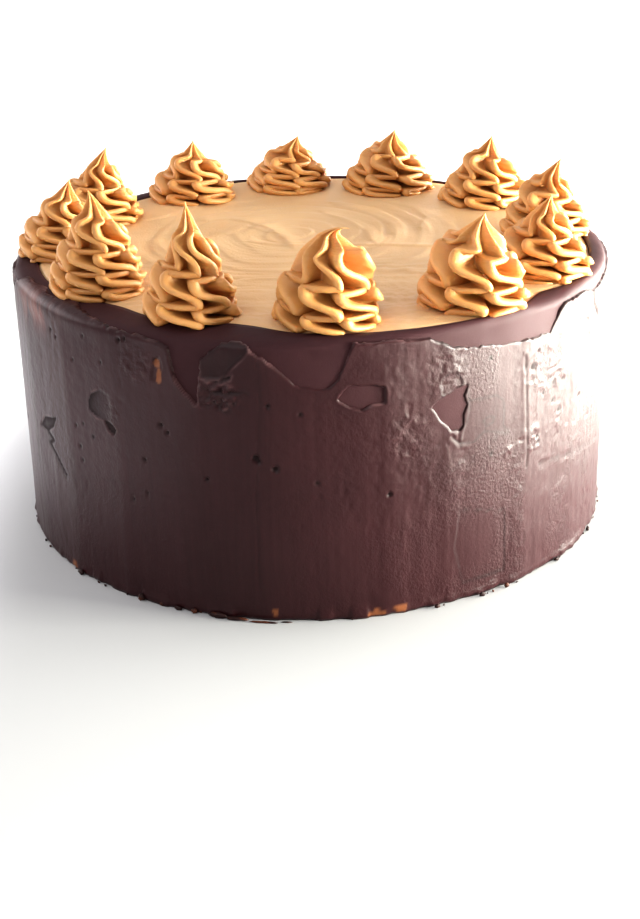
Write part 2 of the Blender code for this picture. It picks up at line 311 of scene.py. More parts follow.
# Chips through to the first coat
CHIPS = (
    ((274.3, 75.9), (275.0, 78.5), (276.1, 80.0), (280.6, 79.4), (281.8, 78.6), (281.9, 74.2), (279.8, 73.8),
     (278.1, 72.4), (276.1, 73.5)),
    ((290.6, 70.2), (291.9, 72.0), (293.1, 73.3), (294.1, 73.8), (295.0, 74.9), (297.2, 75.2), (296.4, 71.9),
     (297.1, 68.9), (296.4, 65.7), (296.5, 62.4), (295.8, 60.9), (294.2, 61.5), (292.2, 65.5)),
    ((70.0, 58.0), (72.0, 61.5), (75.5, 62.0), (77.0, 58.5), (74.0, 55.0)),
    ((137.0, 71.0), (138.0, 75.0), (142.0, 76.5), (144.0, 73.0), (141.0, 69.5)),
)
# Plates that came away within the second coat: outline, depth in millimetres, and the degrees
# between which the hollow runs out to nothing
SHALLOW = (
    (((225.9, 66.4), (227.0, 69.2), (229.3, 71.3), (231.3, 71.0), (233.2, 69.5), (234.3, 67.7), (233.7, 62.9),
      (232.1, 61.6), (230.0, 61.3), (227.9, 61.5), (226.1, 63.0)), 1.50, (226.8, 233.0)),
    (((250.4, 82.9), (251.0, 87.3), (252.6, 90.8), (254.7, 93.5), (257.0, 94.5), (258.9, 93.7), (259.2, 91.5),
      (258.0, 88.8), (256.5, 86.5), (255.0, 82.5), (252.0, 82.1)), 0.70, None),
    (((254.1, 81.6), (255.0, 82.8), (256.4, 83.8), (256.1, 82.4), (254.7, 81.3)), 0.9, None),
    (((292.0, 78.3), (293.1, 80.4), (295.0, 80.4), (296.3, 76.3), (295.1, 74.6), (294.1, 73.8),
      (292.2, 73.9)), 0.22, None),
    (((297.3, 74.0), (297.6, 70.0), (303.4, 69.4), (305.1, 67.3), (305.4, 62.0), (305.3, 58.6), (306.5, 55.2),
      (301.0, 58.3), (298.9, 55.7), (295.9, 56.1), (297.0, 62.0), (297.6, 66.0)), 0.20, None),
    (((300.6, 61.9), (302.0, 63.2), (303.1, 62.2), (302.8, 60.3), (301.3, 59.8)), 0.35, None),
    (((310.5, 70.4), (310.4, 75.0), (311.6, 78.4), (313.3, 80.4), (316.7, 78.7), (317.4, 73.8), (316.0, 69.9),
      (312.7, 69.9)), 0.16, None),
    (((207.0, 47.2), (209.2, 51.6), (214.6, 54.3), (213.2, 50.0), (210.4, 46.8)), 1.40, None),
    (((230.0, 61.3), (232.0, 61.0), (233.1, 59.2), (232.4, 57.2), (231.1, 58.3)), 1.00, None),
    (((242.6, 79.4), (241.6, 79.7), (241.9, 82.5), (242.6, 87.0), (243.6, 87.8), (244.2, 84.2),
      (243.7, 81.9)), 0.35, None),
    (((296.1, 33.1), (306.0, 28.3), (306.4, 6.1), (297.0, 6.5), (295.2, 20.0)), 0.18, None),
    (((324.0, 78.0), (327.0, 84.0), (331.5, 82.0), (333.0, 74.0), (329.0, 69.0), (325.0, 71.0)), 0.20, None),
    (((20.0, 40.0), (24.0, 52.0), (33.0, 55.0), (36.0, 44.0), (30.0, 30.0), (22.0, 29.0)), 0.22, None),
    (((104.0, 36.0), (108.0, 47.0), (118.0, 49.0), (121.0, 38.0), (113.0, 30.0)), 0.22, None),
    (((172.0, 60.0), (174.0, 69.0), (180.0, 71.0), (182.0, 62.0), (177.0, 56.0)), 0.22, None),
)
# Scratches and cracks: line, width and depth in millimetres
SCRATCHES = (
    (((210.6, 46.6), (212.6, 45.0), (210.9, 43.0), (213.2, 40.2), (216.8, 34.8)), 1.10, 1.00),
    (((217.5, 37.5), (221.9, 37.1), (227.4, 39.2), (231.4, 40.9), (235.7, 40.8), (239.0, 40.7), (240.0, 39.0),
      (244.2, 40.0)), 0.30, 0.10),
    (((260.6, 91.6), (260.9, 85.8), (261.0, 75.0), (260.4, 58.4), (259.9, 42.4), (259.8, 12.0)), 0.32, 0.12),
    (((262.3, 87.0), (262.6, 70.0), (262.0, 48.0), (261.8, 20.0)), 0.32, 0.05),
    (((310.1, 79.7), (310.8, 58.8), (311.1, 47.0), (311.0, 41.1)), 0.50, 0.25),
    (((333.5, 90.2), (334.4, 85.3), (337.1, 79.7), (336.0, 73.8), (334.7, 69.8), (332.8, 67.4)), 0.60, 0.70),
    (((315.0, 40.0), (323.4, 37.8), (334.0, 34.2), (341.0, 32.2)), 0.60, 0.30),
    (((251.7, 79.3), (253.1, 75.7), (254.7, 71.6), (255.9, 72.3), (255.7, 75.0)), 0.45, 0.28),
    (((253.7, 77.4), (256.0, 77.8), (258.3, 78.6), (259.2, 78.1)), 0.40, 0.28),
    (((294.2, 59.2), (295.9, 56.1), (298.9, 55.7), (301.0, 58.3)), 0.45, 0.30),
    (((60.0, 44.0), (63.0, 30.0), (62.0, 18.0)), 0.45, 0.30),
    (((158.0, 48.0), (152.0, 50.0), (147.0, 47.0), (140.0, 49.0)), 0.45, 0.30),
)
# Flats left by single upright strokes of the scraper: degrees from and to, share of a true flat
FLATS = (
    (8.0, 24.0, 0.5), (25.0, 37.0, 0.6), (38.0, 56.0, 0.4), (66.0, 82.0, 0.5), (84.0, 96.0, 0.6),
    (100.0, 118.0, 0.4), (124.0, 137.0, 0.6), (138.0, 155.0, 0.5), (163.0, 176.0, 0.3),
    (204.0, 219.0, 0.4), (220.0, 233.0, 0.5), (234.0, 246.0, 0.4), (250.4, 260.9, 0.6), (262.4, 282.0, 0.35),
    (283.5, 293.5, 0.7), (294.6, 310.2, 0.8), (311.2, 326.0, 0.6), (327.0, 340.0, 0.3),
)
# Small air holes: degrees, millimetres up, millimetres across
HOLES = (
    (215.4, 85.8, 1.3), (217.3, 84.2, 1.0), (226.0, 88.5, 1.0), (232.5, 93.8, 1.2), (222.4, 78.8, 1.0),
    (222.5, 48.5, 1.3), (222.9, 43.7, 1.2), (223.9, 57.2, 1.0), (226.5, 53.8, 1.5), (221.7, 55.5, 1.0),
    (235.2, 90.6, 1.2), (236.5, 91.3, 1.0), (241.1, 93.2, 1.0), (242.7, 86.3, 1.2), (244.3, 62.6, 1.1),
    (243.0, 64.8, 1.2), (239.1, 51.5, 1.0), (196.2, 43.3, 1.4), (230.3, 81.3, 1.0), (239.2, 39.5, 1.1),
    (235.9, 36.1, 1.0), (260.0, 56.9, 1.7), (260.5, 55.8, 1.1), (263.3, 53.4, 1.6), (270.3, 48.4, 1.2),
    (282.7, 42.9, 1.1), (267.7, 71.5, 1.0), (262.3, 74.2, 1.0), (251.3, 48.5, 1.0), (318.7, 60.1, 1.6),
    (318.7, 66.2, 1.4), (321.8, 65.9, 1.5), (320.8, 55.6, 1.7), (328.4, 56.0, 1.6), (302.1, 82.5, 1.4),
    (314.0, 50.1, 1.3), (314.3, 47.9, 1.3), (302.6, 49.8, 1.3), (315.7, 64.3, 1.4), (312.4, 75.0, 2.0),
)
# Crumbly and pitted patches: degrees, millimetres up, degrees and millimetres across, relief in mm
CRUMBLY = (
    (253.5, 77.0, 4.4, 5.4, 0.90), (238.5, 84.5, 4.2, 8.0, 0.20), (232.0, 65.0, 2.2, 5.0, 0.22),
    (293.0, 82.0, 4.5, 9.0, 0.20), (285.5, 62.0, 4.0, 9.0, 0.16), (303.0, 50.0, 6.0, 8.0, 0.20),
    (317.0, 73.0, 6.0, 11.0, 0.24), (313.0, 50.0, 2.0, 6.0, 0.22),
)
# Bare sponge at a few small spots: degrees, millimetres up, half width, half height
SPONGE_SPOTS = (
    (243.3, 81.6, 0.9, 2.3), (243.0, 85.2, 1.1, 1.4), (217.5, 1.6, 2.2, 1.2), (262.5, 3.2, 1.4, 1.2),
    (280.0, 1.4, 2.6, 0.9), (284.6, 1.9, 2.4, 1.0), (64.0, 2.0, 3.0, 1.2), (150.0, 1.8, 2.4, 1.2),
)


def bell(off, width, power=2):
    """1 in the middle, falling away on both sides as e to the power -(off / width) ^ power."""
    return np.exp(-(off / width) ** power)


def side_distance(x, y, dx, dy):
    """Distance of points from the straight piece between the origin and (dx, dy). The nearest
    point on it lies at the share of its length that the dot product gives."""
    share = np.clip((x * dx + y * dy) / (dx * dx + dy * dy), 0.0, 1.0)
    return np.hypot(x - share * dx, y - share * dy)


def outline_distance(turn, along, outline):
    """Metres inside a closed outline drawn in (degrees, millimetres), negative outside: the
    shortest distance to any of its sides, with the sign from counting crossings."""
    near = np.full(np.broadcast_shapes(turn.shape, along.shape), 1.0)
    inside = np.zeros(near.shape, dtype=bool)
    px, py = np.degrees(turn) % 360.0 * DEGREE_LENGTH, along
    for (a, low), (b, high) in zip(outline, outline[1:] + outline[:1]):
        ax, ay, bx, by = a * DEGREE_LENGTH, low * MILLIMETRE, b * DEGREE_LENGTH, high * MILLIMETRE
        near = np.minimum(near, side_distance(px - ax, py - ay, bx - ax, by - ay))
        if ay != by:
            crosses = (ay > py) != (by > py)
            inside ^= crosses & (px < ax + (py - ay) * (bx - ax) / (by - ay))
    return np.where(inside, near, -near)


def line_distance(turn, along, line):
    """Shortest distance in metres to a line drawn in (degrees, millimetres) on the wall."""
    x = np.degrees(turn) % 360.0
    near = np.full(np.broadcast_shapes(turn.shape, along.shape), 1.0)
    for (a, low), (b, high) in zip(line, line[1:]):
        dx, dy = (b - a) * DEGREE_LENGTH, (high - low) * MILLIMETRE
        near = np.minimum(near, side_distance((x - a) * DEGREE_LENGTH, along - low * MILLIMETRE, dx, dy))
    return near


def flat_faces(turn):
    """Radial offset that turns arcs of the wall towards flats: a chord has the radius
    R cos(half) / cos(angle from its middle), and a share of the way to it is taken."""
    x = np.degrees(turn) % 360.0
    offset = np.zeros(turn.shape)
    for start, end, share in FLATS:
        middle, half = 0.5 * (start + end), math.radians(0.5 * (end - start))
        chord = WALL_RADIUS * (math.cos(half) / np.cos(np.radians(x - middle)) - 1.0)
        offset = np.where((x >= start) & (x <= end), share * chord, offset)
    return offset


def torn_distance(turn, along):
    """Metres below the torn upper edge, negative above it."""
    first, last = TORN_EDGE[0], TORN_EDGE[-1]
    closed = ((last[0] - 360.0, last[1]),) + TORN_EDGE + ((first[0] + 360.0, first[1]),)
    degrees, values = np.array(closed).T
    below = along < np.interp(np.degrees(turn) % 360.0, degrees, values * MILLIMETRE)
    near = line_distance(turn, along, closed)
    return np.where(below, near, -near)


# The grid has close columns and rows where the coat shows its marks, and wider ones elsewhere
front = np.radians(np.arange(194.0, 344.0, 0.27))
back = np.radians(np.arange(344.0, 554.0, 1.00))
turn = np.concatenate([front, back])[None, :]
along = np.concatenate([np.arange(0.0, 0.0400, 0.00125), np.arange(0.0400, 0.0974, 0.0006)])[:, None]
bearing = np.degrees(turn)

# How far inside the coat each point is, with ragged edges: it is bare above the tear and in the chips
rag = wall_layers(turn, along, (0.00040, 0.0042, 0.0042, 21), (0.00030, 0.0014, 0.0014, 22))
covered = torn_distance(turn, along) + rag
for outline in CHIPS:
    covered = np.minimum(covered, -outline_distance(turn, along, outline) + 0.5 * rag)

# Relief of the scraped face: hills from broad to fine, flats, and thin plates and pits lost from it
rough_side = read_round(turn, ((0.0, 0.8), (60.0, 0.5), (190.0, 0.35), (230.0, 0.3), (262.0, 0.25),
                               (284.0, 0.5), (300.0, 0.75), (340.0, 0.80)), 4.0)
face = wall_layers(turn, along, (0.00020, 0.024, 0.070, 31), (0.00006, 0.0062, 0.060, 32),
                   (0.00002 + 0.00004 * rough_side, 0.0021, 0.034, 33),
                   (0.00002 + 0.00006 * rough_side, 0.0016, 0.0016, 38))
face = face + flat_faces(turn) * ease((SHOULDER_LEVEL - along) / 0.006)
plates = wall_layers(turn, along, (1.0, 0.011, 0.015, 34), (0.5, 0.0035, 0.0040, 35))
pitted = wall_layers(turn, along, (1.0, 0.0019, 0.0019, 36), (0.5, 0.012, 0.012, 37))
face = face - 0.00013 * rough_side * ease((plates - 0.25) / 0.10)
face = face - 0.00010 * rough_side * ease((-plates - 0.35) / 0.08)
face = face - 0.00030 * rough_side * ease((pitted - 0.85) / 0.25)

# Hollows, scratches and holes cut into the face. Two shares go to the material: painted shade, which
# darkens the hollows, scratches, holes and pits, draws a painted shadow line along torn edges on the
# bright side and also makes them rougher; and a painted highlight along broken rims
bright_side = ease((bearing - 284.0) / 8.0) * (1.0 - ease((bearing - 345.0) / 10.0))
# Painted shadow line just inside the torn edge on the bright side
painted_shade = 0.8 * bright_side * bell(covered - 0.0002, 0.0004)
# Painted highlight along the torn rim
painted_rim_highlight = bell(covered - 0.0003, 0.0004)
for outline, depth, runs_out in SHALLOW:
    inside = outline_distance(turn, along, outline) + 0.4 * rag
    share = ease(inside / 0.0005 + 0.5)
    rim = bell(inside + 0.0004, 0.0004)
    if runs_out:
        left = 1.0 - ease((bearing - runs_out[0]) / (runs_out[1] - runs_out[0]))
        share, rim = share * left, rim * left
    face = face - MILLIMETRE * depth * share + 0.00008 * rim
    # Painted shade in the plates' hollows, and a painted shadow outline round them on the bright side
    painted_shade = np.maximum(painted_shade, share * min(depth, 1.0) ** 2 * (0.70 + 0.30 * bell(inside, 0.0015)))
    painted_shade = np.maximum(painted_shade, 0.65 * bright_side * bell(inside, 0.0004))
    # Painted highlight on the plates' raised rims
    painted_rim_highlight = np.maximum(painted_rim_highlight, min(depth, 0.6) * rim)
for line, width, depth in SCRATCHES:
    off = line_distance(turn, along, line) + 0.15 * rag
    cut = bell(off, MILLIMETRE * width)
    face = face - MILLIMETRE * depth * cut + 0.00025 * depth * bell(off - 0.0012, 0.0006)
    # Painted shade in the scratch
    painted_shade = np.maximum(painted_shade, min(1.7 * depth, 1.0) * cut)
for degrees, level, across in HOLES:
    off = line_distance(turn, along, ((degrees, level), (degrees + 0.01, level)))
    cut = bell(off, 0.00062 * across, 4)
    face = face - 0.0014 * cut + 0.00006 * bell(off - 0.0010 * across, 0.0004)
    # Painted shade in the hole
    painted_shade = np.maximum(painted_shade, cut)

crumbly = np.zeros(covered.shape)
for degrees, level, wide, tall, relief in CRUMBLY:
    off = np.hypot((bearing % 360.0 - degrees) / wide, (along / MILLIMETRE - level) / tall)
    crumbly = np.maximum(crumbly, relief * (1.0 - ease((off - 0.6) / 0.5)))
crumbs = wall_layers(turn, along, (1.0, 0.0013, 0.0011, 39), (0.5, 0.0028, 0.0028, 40))
face = face + MILLIMETRE * crumbly * crumbs
# Painted shade in the pits of the crumbly patches
painted_shade = np.maximum(painted_shade, ease(-crumbs - 0.35) * np.minimum(2.0 * crumbly, 1.0))
# Painted highlight on the tops of the crumbly bumps
painted_rim_highlight = np.maximum(painted_rim_highlight, ease(2.0 * crumbs - 0.8) * np.minimum(1.2 * crumbly, 0.6))

# The coat's thickness with a raised lip along its edges and a spread, lumpy foot. Where it is
# missing, its surface dives just under the first coat
thick = MILLIMETRE * read_round(turn, COAT_THICKNESS, 3.0)
lip = 0.00025 * (1.0 - bright_side) * bell(covered - 0.0008, 0.0005)
lip = lip * (0.6 + 0.4 * wall_hills(turn, along, 0.008, 0.008, 41))
foot = 0.0007 * ease((0.0022 - along) / 0.0022) * (1.0 + 0.8 * wall_hills(turn, along, 0.0035, 0.01, 42))
lumps = ease((wall_hills(turn, along, 0.0060, 0.0200, 43) - 0.35) / 0.3) * ease((0.0050 - along) / 0.0030)
proud = np.maximum(thick + face, THINNEST) + lip + foot + 0.0005 * lumps
proud = (proud + SUNK) * ease(covered / 0.0006 + 0.5) - SUNK
rings = coat_points(turn, along, proud)
rings[0] = rings[0] * (0.99, 0.99, 0.0)
inner_ring = rings[-1] * (0.86, 0.86, 0.0) + (0.0, 0.0, COAT_LID)
rings = np.concatenate([rings, inner_ring[None]])
scraped_coat = skin("scraped_coat", rings, (0.0, 0.0, 0.0), (0.0, 0.0, COAT_LID))

# Shares that the material reads: bare sponge, coat scraped thin at the left, a painted highlight
# on broken rims, painted shade in the hollows, and how uneven the grain is
sponge = np.zeros(covered.shape)
for degrees, level, wide, tall in SPONGE_SPOTS:
    x = ((bearing - degrees + 180.0) % 360.0 - 180.0) * DEGREE_LENGTH / MILLIMETRE / wide
    spot = np.hypot(x, (along / MILLIMETRE - level) / tall) + 1.1 * rag / MILLIMETRE
    sponge = np.maximum(sponge, 1.0 - ease((spot - 0.7) / 0.5))
thin = bell(bearing % 360.0 - 208.0, 7.5) * bell(along - 0.0900, 0.0055)
thin = thin * ease(0.55 + wall_layers(turn, along, (1.0, 0.0030, 0.0120, 44), (0.4, 0.0014, 0.0060, 45)))
# The painted highlight comes and goes along the rims, and is mostly left off on the bright side, where the
# lamps light the rims
painted_rim_highlight = painted_rim_highlight * ease(0.25 + 1.2 * wall_hills(turn, along, 0.005, 0.005, 46)) * (1.0 - 0.85 * bright_side)
uneven = np.maximum(rough_side * ease(0.5 + 1.5 * wall_hills(turn, along, 0.012, 0.020, 47)),
                    np.minimum(4.0 * crumbly, 1.0))
shares = {"sponge": sponge, "thin": thin, "painted_rim_highlight": painted_rim_highlight, "painted_shade": painted_shade, "uneven": uneven}
for name, values in shares.items():
    keep_value(scraped_coat, name, np.concatenate([values, 0.0 * values[:1]]))

SCRAPED_DARK = (0.0245, 0.0053, 0.0066)
SCRAPED_LIGHT = (0.0360, 0.0093, 0.0110)
SPONGE_BROWN = (0.190, 0.066, 0.026)
THIN_RED = (0.150, 0.040, 0.026)
# Colour of the painted highlight on broken rims
PAINTED_HIGHLIGHT_PINK = (0.170, 0.090, 0.090)
# Colour of the painted shade in hollows, scratches, holes and pits
PAINTED_SHADE_DARK = (0.0090, 0.0020, 0.0024)

scraped_look, tree, shader = new_material("scraped_ganache")
finish = use_group(tree, ganache, {"Cloud Size": 26.0, "Streak Size": 420.0, "Streak Height": 0.045,
                                   "Grain Size": 1000.0})
held = {name: put(tree, "ShaderNodeAttribute", attribute_name=name).outputs["Fac"] for name in shares}
tone = calculate(tree, "MULTIPLY", finish["Clouds"], finish["Streaks"])
colour = blend_colours(tree, ranged(tree, tone, 0.0, 1.0, 0.12, 0.42), SCRAPED_DARK, SCRAPED_LIGHT)
# The colour takes the red of the thin coat, the painted highlight on broken rims, the painted shade in the
# hollows, and the bare sponge
for name, most, towards in (("thin", 0.90, THIN_RED), ("painted_rim_highlight", 0.60, PAINTED_HIGHLIGHT_PINK),
                            ("painted_shade", 1.0, PAINTED_SHADE_DARK), ("sponge", 1.0, SPONGE_BROWN)):
    colour = blend_colours(tree, ranged(tree, held[name], 0.0, most), colour, towards)
sheen = ranged(tree, finish["Streaks"], 0.30, 0.50)
sheen = calculate(tree, "MAXIMUM", sheen, ranged(tree, held["painted_shade"], 0.0, 0.80))
relief = calculate(tree, "MULTIPLY", finish["Grain"], ranged(tree, held["uneven"], 0.5, 2.6))
relief = calculate(tree, "MULTIPLY_ADD", finish["Streaks"], 0.45, relief)
dress(tree, shader, colour, sheen, relief, 0.40)
shader.inputs["Specular IOR Level"].default_value = 0.25
scraped_coat.data.materials.append(scraped_look)
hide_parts("cake_body")


# The crumbs at the foot. Bits of ganache and sponge broke away along the base when the wall was
# scraped, and lie against it: a few lumps, a thin flake, and a fine scatter of small ones.

# Lumps: degrees round the cake, radius, length round the cake, width, height, all in millimetres
LUMPS = (
    (220.4, 105.9, 2.4, 1.4, 1.6), (236.6, 106.0, 2.6, 1.5, 2.6), (241.0, 105.8, 1.8, 1.2, 1.6),
    (244.4, 106.0, 3.0, 1.1, 1.3), (247.6, 106.2, 2.2, 1.2, 1.8), (252.2, 106.6, 6.4, 1.6, 1.9),
    (255.6, 106.9, 7.0, 1.5, 1.2), (260.4, 107.2, 9.0, 1.1, 0.6), (264.4, 106.4, 4.0, 0.8, 0.4),
    (291.5, 105.8, 2.0, 1.2, 1.4), (300.8, 105.9, 2.6, 1.2, 1.5), (306.4, 105.9, 1.8, 1.3, 1.6),
    (321.0, 105.8, 2.2, 1.2, 1.4), (335.6, 105.9, 2.4, 1.3, 1.5), (30.0, 105.8, 2.4, 1.2, 1.4),
    (97.0, 105.8, 2.2, 1.3, 1.5), (141.0, 105.8, 2.6, 1.2, 1.3),
)
# Scattered crumbs: how many, and the least and most of each of the same five sizes
CRUMB_COUNT = 60
CRUMB_SIZES = ((0.0, 360.0), (104.9, 105.8), (0.4, 1.3), (0.4, 0.8), (0.3, 0.9))
CRUMB_RINGS, CRUMB_SIDES = 7, 10

# Each crumb is an ellipsoid whose points are moved in and out at random, lying on the floor
luck = np.random.default_rng(61)
scatter = np.stack([luck.uniform(least, most, CRUMB_COUNT) for least, most in CRUMB_SIZES], axis=1)
lumps = np.concatenate([np.array(LUMPS), scatter])
across = np.linspace(0.0, ROUND, CRUMB_SIDES, endpoint=False)[None, None, :]
upwards = np.linspace(0.12, math.pi - 0.12, CRUMB_RINGS)[None, :, None]
knobbly = 1.0 + 0.22 * luck.uniform(-1.0, 1.0, (len(lumps), CRUMB_RINGS, CRUMB_SIDES))
degrees, radius, long, wide, tall = (lumps[:, i, None, None] for i in range(5))
along_wall = 0.5 * long * knobbly * np.sin(upwards) * np.cos(across)
off_wall = 0.5 * wide * knobbly * np.sin(upwards) * np.sin(across)
height = 0.5 * tall * (1.0 - knobbly * np.cos(upwards)) + 0.0 * across
bearing = np.radians(degrees)
points = np.stack([(radius + off_wall) * np.cos(bearing) - along_wall * np.sin(bearing),
                   (radius + off_wall) * np.sin(bearing) + along_wall * np.cos(bearing),
                   np.maximum(height, 0.0) + 0.02], axis=-1) * MILLIMETRE
here = np.arange(points[..., 0].size).reshape(points.shape[:3])
right = np.roll(here, -1, axis=2)
sides = np.stack([here[:, :-1], right[:, :-1], right[:, 1:], here[:, 1:]], axis=-1).reshape(-1, 4)
ends = here[:, 0, ::-1].tolist() + here[:, -1].tolist()
mesh = bpy.data.meshes.new("foot_crumbs")
mesh.from_pydata(points.reshape(-1, 3).tolist(), [], sides.tolist() + ends)
mesh.shade_smooth()
foot_crumbs = add_object("foot_crumbs", mesh)
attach(foot_crumbs, "root")

CRUMB_DARK = (0.022, 0.0065, 0.0060)
CRUMB_BROWN = (0.100, 0.030, 0.014)
crumb_look, tree, shader = new_material("ganache_crumbs")
finish = use_group(tree, ganache, {"Cloud Size": 140.0, "Streak Size": 900.0, "Streak Height": 1.0,
                                   "Grain Size": 2400.0})
share = ranged(tree, finish["Clouds"], 0.0, 1.0, 0.50, 0.62)
colour = blend_colours(tree, share, CRUMB_DARK, CRUMB_BROWN)
dress(tree, shader, colour, ranged(tree, finish["Streaks"], 0.45, 0.75), finish["Grain"], 0.50)
shader.inputs["Specular IOR Level"].default_value = 0.25
foot_crumbs.data.materials.append(crumb_look)


# The mocha top. Soft coffee buttercream is spread with a palette knife inside the chocolate rim.
# The knife leaves a slow spiral of low ridges, two stop marks and a grainy patch.

# Knife marks on top: line in millimetres from the middle, width, height
KNIFE_MARKS = (
    (((-38.0, 32.0), (-30.0, 33.0), (-22.0, 28.0), (-14.0, 18.0), (-9.0, 6.0), (-7.0, -3.0)), 1.6, 0.45),
    (((-30.0, 14.0), (-23.0, 23.0), (-14.0, 14.0)), 1.5, 0.30),
    (((-20.0, 1.0), (-14.0, -1.0), (-7.0, -3.0), (4.0, -4.0)), 1.2, 0.35),
    (((14.0, -5.0), (25.0, -6.0), (37.0, -8.0), (49.0, -9.0)), 1.3, 0.55),
    (((20.0, -37.0), (32.0, -37.0), (38.0, -41.0)), 1.2, 0.55),
    (((6.0, 40.0), (15.0, 27.0), (21.0, 13.0), (22.0, 1.0)), 1.8, 0.45),
    (((10.0, 53.0), (22.0, 39.0), (30.0, 21.0), (30.0, 9.0)), 1.8, 0.50),
    (((30.0, 56.0), (40.0, 45.0), (44.0, 30.0), (41.0, 16.0)), 1.8, 0.40),
    (((-62.0, -8.0), (-50.0, -28.0), (-34.0, -46.0)), 2.0, 0.22),
    (((-54.0, 0.0), (-42.0, -22.0), (-26.0, -40.0)), 2.0, 0.20),
    (((-56.0, 40.0), (-40.0, 56.0), (-18.0, 64.0)), 2.0, 0.25),
)


def flat_line(x, y, line):
    """Signed distance in metres to a line drawn in millimetres on the top: the shortest way to
    it, positive on its left side."""
    near = np.full(x.shape, 1.0)
    side = np.zeros(x.shape)
    for (ax, ay), (bx, by) in zip(line, line[1:]):
        dx, dy = (bx - ax) * MILLIMETRE, (by - ay) * MILLIMETRE
        px, py = x - ax * MILLIMETRE, y - ay * MILLIMETRE
        away = side_distance(px, py, dx, dy)
        side = np.where(away < near, np.sign(dx * py - dy * px), side)
        near = np.minimum(near, away)
    return near, side


def spread_relief(x, y):
    """Height of the spread mocha over its level: knife ridges, steep on one side and slow on the
    other, with a spiral of fine lines, broad hills and a grainy patch."""
    reach, bearing = np.hypot(x + 0.008, y - 0.010), np.arctan2(y - 0.010, x + 0.008)
    wander = 0.6 * hills(x / 0.020, y / 0.020, 51)
    spiral = reach / 0.0095 - bearing / ROUND + wander
    wave = spiral - np.floor(spiral)
    saw = np.where(wave < 0.82, wave / 0.82, (1.0 - wave) / 0.18)
    calm = ease((0.066 - np.hypot(x, y)) / 0.014) * ease(reach / 0.012)
    height = 0.00040 * (ease(saw) - 0.5) * calm * (0.6 + 0.6 * hills(x / 0.024, y / 0.024, 52))
    height = height + 0.00009 * calm * hills(reach / 0.0011, bearing * 2.0 + wander, 53)
    height = height + 0.00030 * hills(x / 0.030, y / 0.030, 54) + 0.00006 * hills(x / 0.004, y / 0.004, 55)
    for line, width, tall in KNIFE_MARKS:
        near, side = flat_line(x, y, line)
        slow = np.where(side > 0.0, 2.6, 0.7)
        height = height + MILLIMETRE * tall * bell(near, MILLIMETRE * width * slow)
    drawn = hills(x / 0.022, (y + 0.002 * hills(x / 0.016, y / 0.016, 59)) / 0.0020, 60)
    height = height + 0.00030 * drawn * ease((-0.010 - y) / 0.030)
    patch = bell(x - 0.031, 0.014) * bell(y + 0.068, 0.022)
    patch = patch + 0.6 * bell(x + 0.016, 0.010) * bell(y + 0.074, 0.016)
    grains = hills(x / 0.0016, y / 0.0016, 56) + 0.6 * hills(x / 0.0008, y / 0.0008, 57)
    return height + 0.00028 * patch * grains


turn = np.linspace(0.0, ROUND, 540, endpoint=False)[None, :]
edge = read_round(turn, TOP_EDGE, 3.0) + 0.0003 * wall_hills(turn, 0.0 * turn, 0.006, 0.01, 58)
inwards = np.concatenate([np.linspace(0.985, 0.86, 26), np.linspace(0.852, 0.02, 104)])[:, None]
x = edge * inwards * np.cos(turn)
y = edge * inwards * np.sin(turn)
crown = 0.0004 * ease((1.0 - inwards) / 0.05)
z = TOP_LEVEL - 0.0004 + crown + spread_relief(x, y)
rings = np.stack([x, y, z], axis=-1)

# The disc's side goes down to the floor of the recess, a hair above it
bank = rings[0] * (1.012, 1.012, 1.0) + (0.0, 0.0, -0.0008)
seat = bank * (1.0, 1.0, 0.0) + (0.0, 0.0, RECESS_FLOOR + PIECE_GAP)
rings = np.concatenate([seat[None], bank[None], rings])
mocha_spread = skin("mocha_spread", rings, (0.0, 0.0, RECESS_FLOOR + PIECE_GAP),
                    (0.0, 0.0, float(z[-1].mean())))

# Buttercream finish shared by the top and the swirls: soft tone patches, fine air grain, pinholes
butter, given, result = new_group(
    "buttercream_finish", (("Tone Size", 60.0), ("Grain Size", 1800.0), ("Hole Size", 700.0)),
    ("Tone", "Grain", "Holes"))
place = put(butter, "ShaderNodeTexCoord").outputs["Object"]
tone = put(butter, "ShaderNodeTexNoise", {"Vector": place, "Scale": given["Tone Size"], "Detail": 5.0})
grain = put(butter, "ShaderNodeTexNoise", {"Vector": place, "Scale": given["Grain Size"], "Detail": 3.0})
cells = put(butter, "ShaderNodeTexVoronoi", {"Vector": place, "Scale": given["Hole Size"]})
pin = put(butter, "ShaderNodeMapRange", {"Value": cells.outputs["Distance"], "From Min": 0.10,
                                         "From Max": 0.26}, interpolation_type="SMOOTHSTEP")
for title, made in (("Tone", tone), ("Grain", grain), ("Holes", pin)):
    butter.links.new(made.outputs[0], result[title])

SPREAD_DEEP = (0.560, 0.325, 0.150)
SPREAD_PALE = (0.690, 0.455, 0.245)

spread_look, tree, shader = new_material("spread_buttercream")
finish = use_group(tree, butter, {"Tone Size": 45.0, "Grain Size": 1500.0, "Hole Size": 520.0})
colour = blend_colours(tree, finish["Tone"], SPREAD_DEEP, SPREAD_PALE)
relief = calculate(tree, "MULTIPLY_ADD", finish["Holes"], 0.6, finish["Grain"])
dress(tree, shader, colour, ranged(tree, finish["Tone"], 0.42, 0.62), relief, 0.45)
shader.inputs["Subsurface Weight"].default_value = 0.15
shader.inputs["Subsurface Radius"].default_value = (1.0, 0.5, 0.2)
shader.inputs["Subsurface Scale"].default_value = 0.002
mocha_spread.data.materials.append(spread_look)
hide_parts("mocha_top")


# The twelve piped swirls. Mocha buttercream is pressed through a star nozzle held upright near
# the rim; the bag circles as it lifts, so the ribs fold over in layers and draw out to a point.

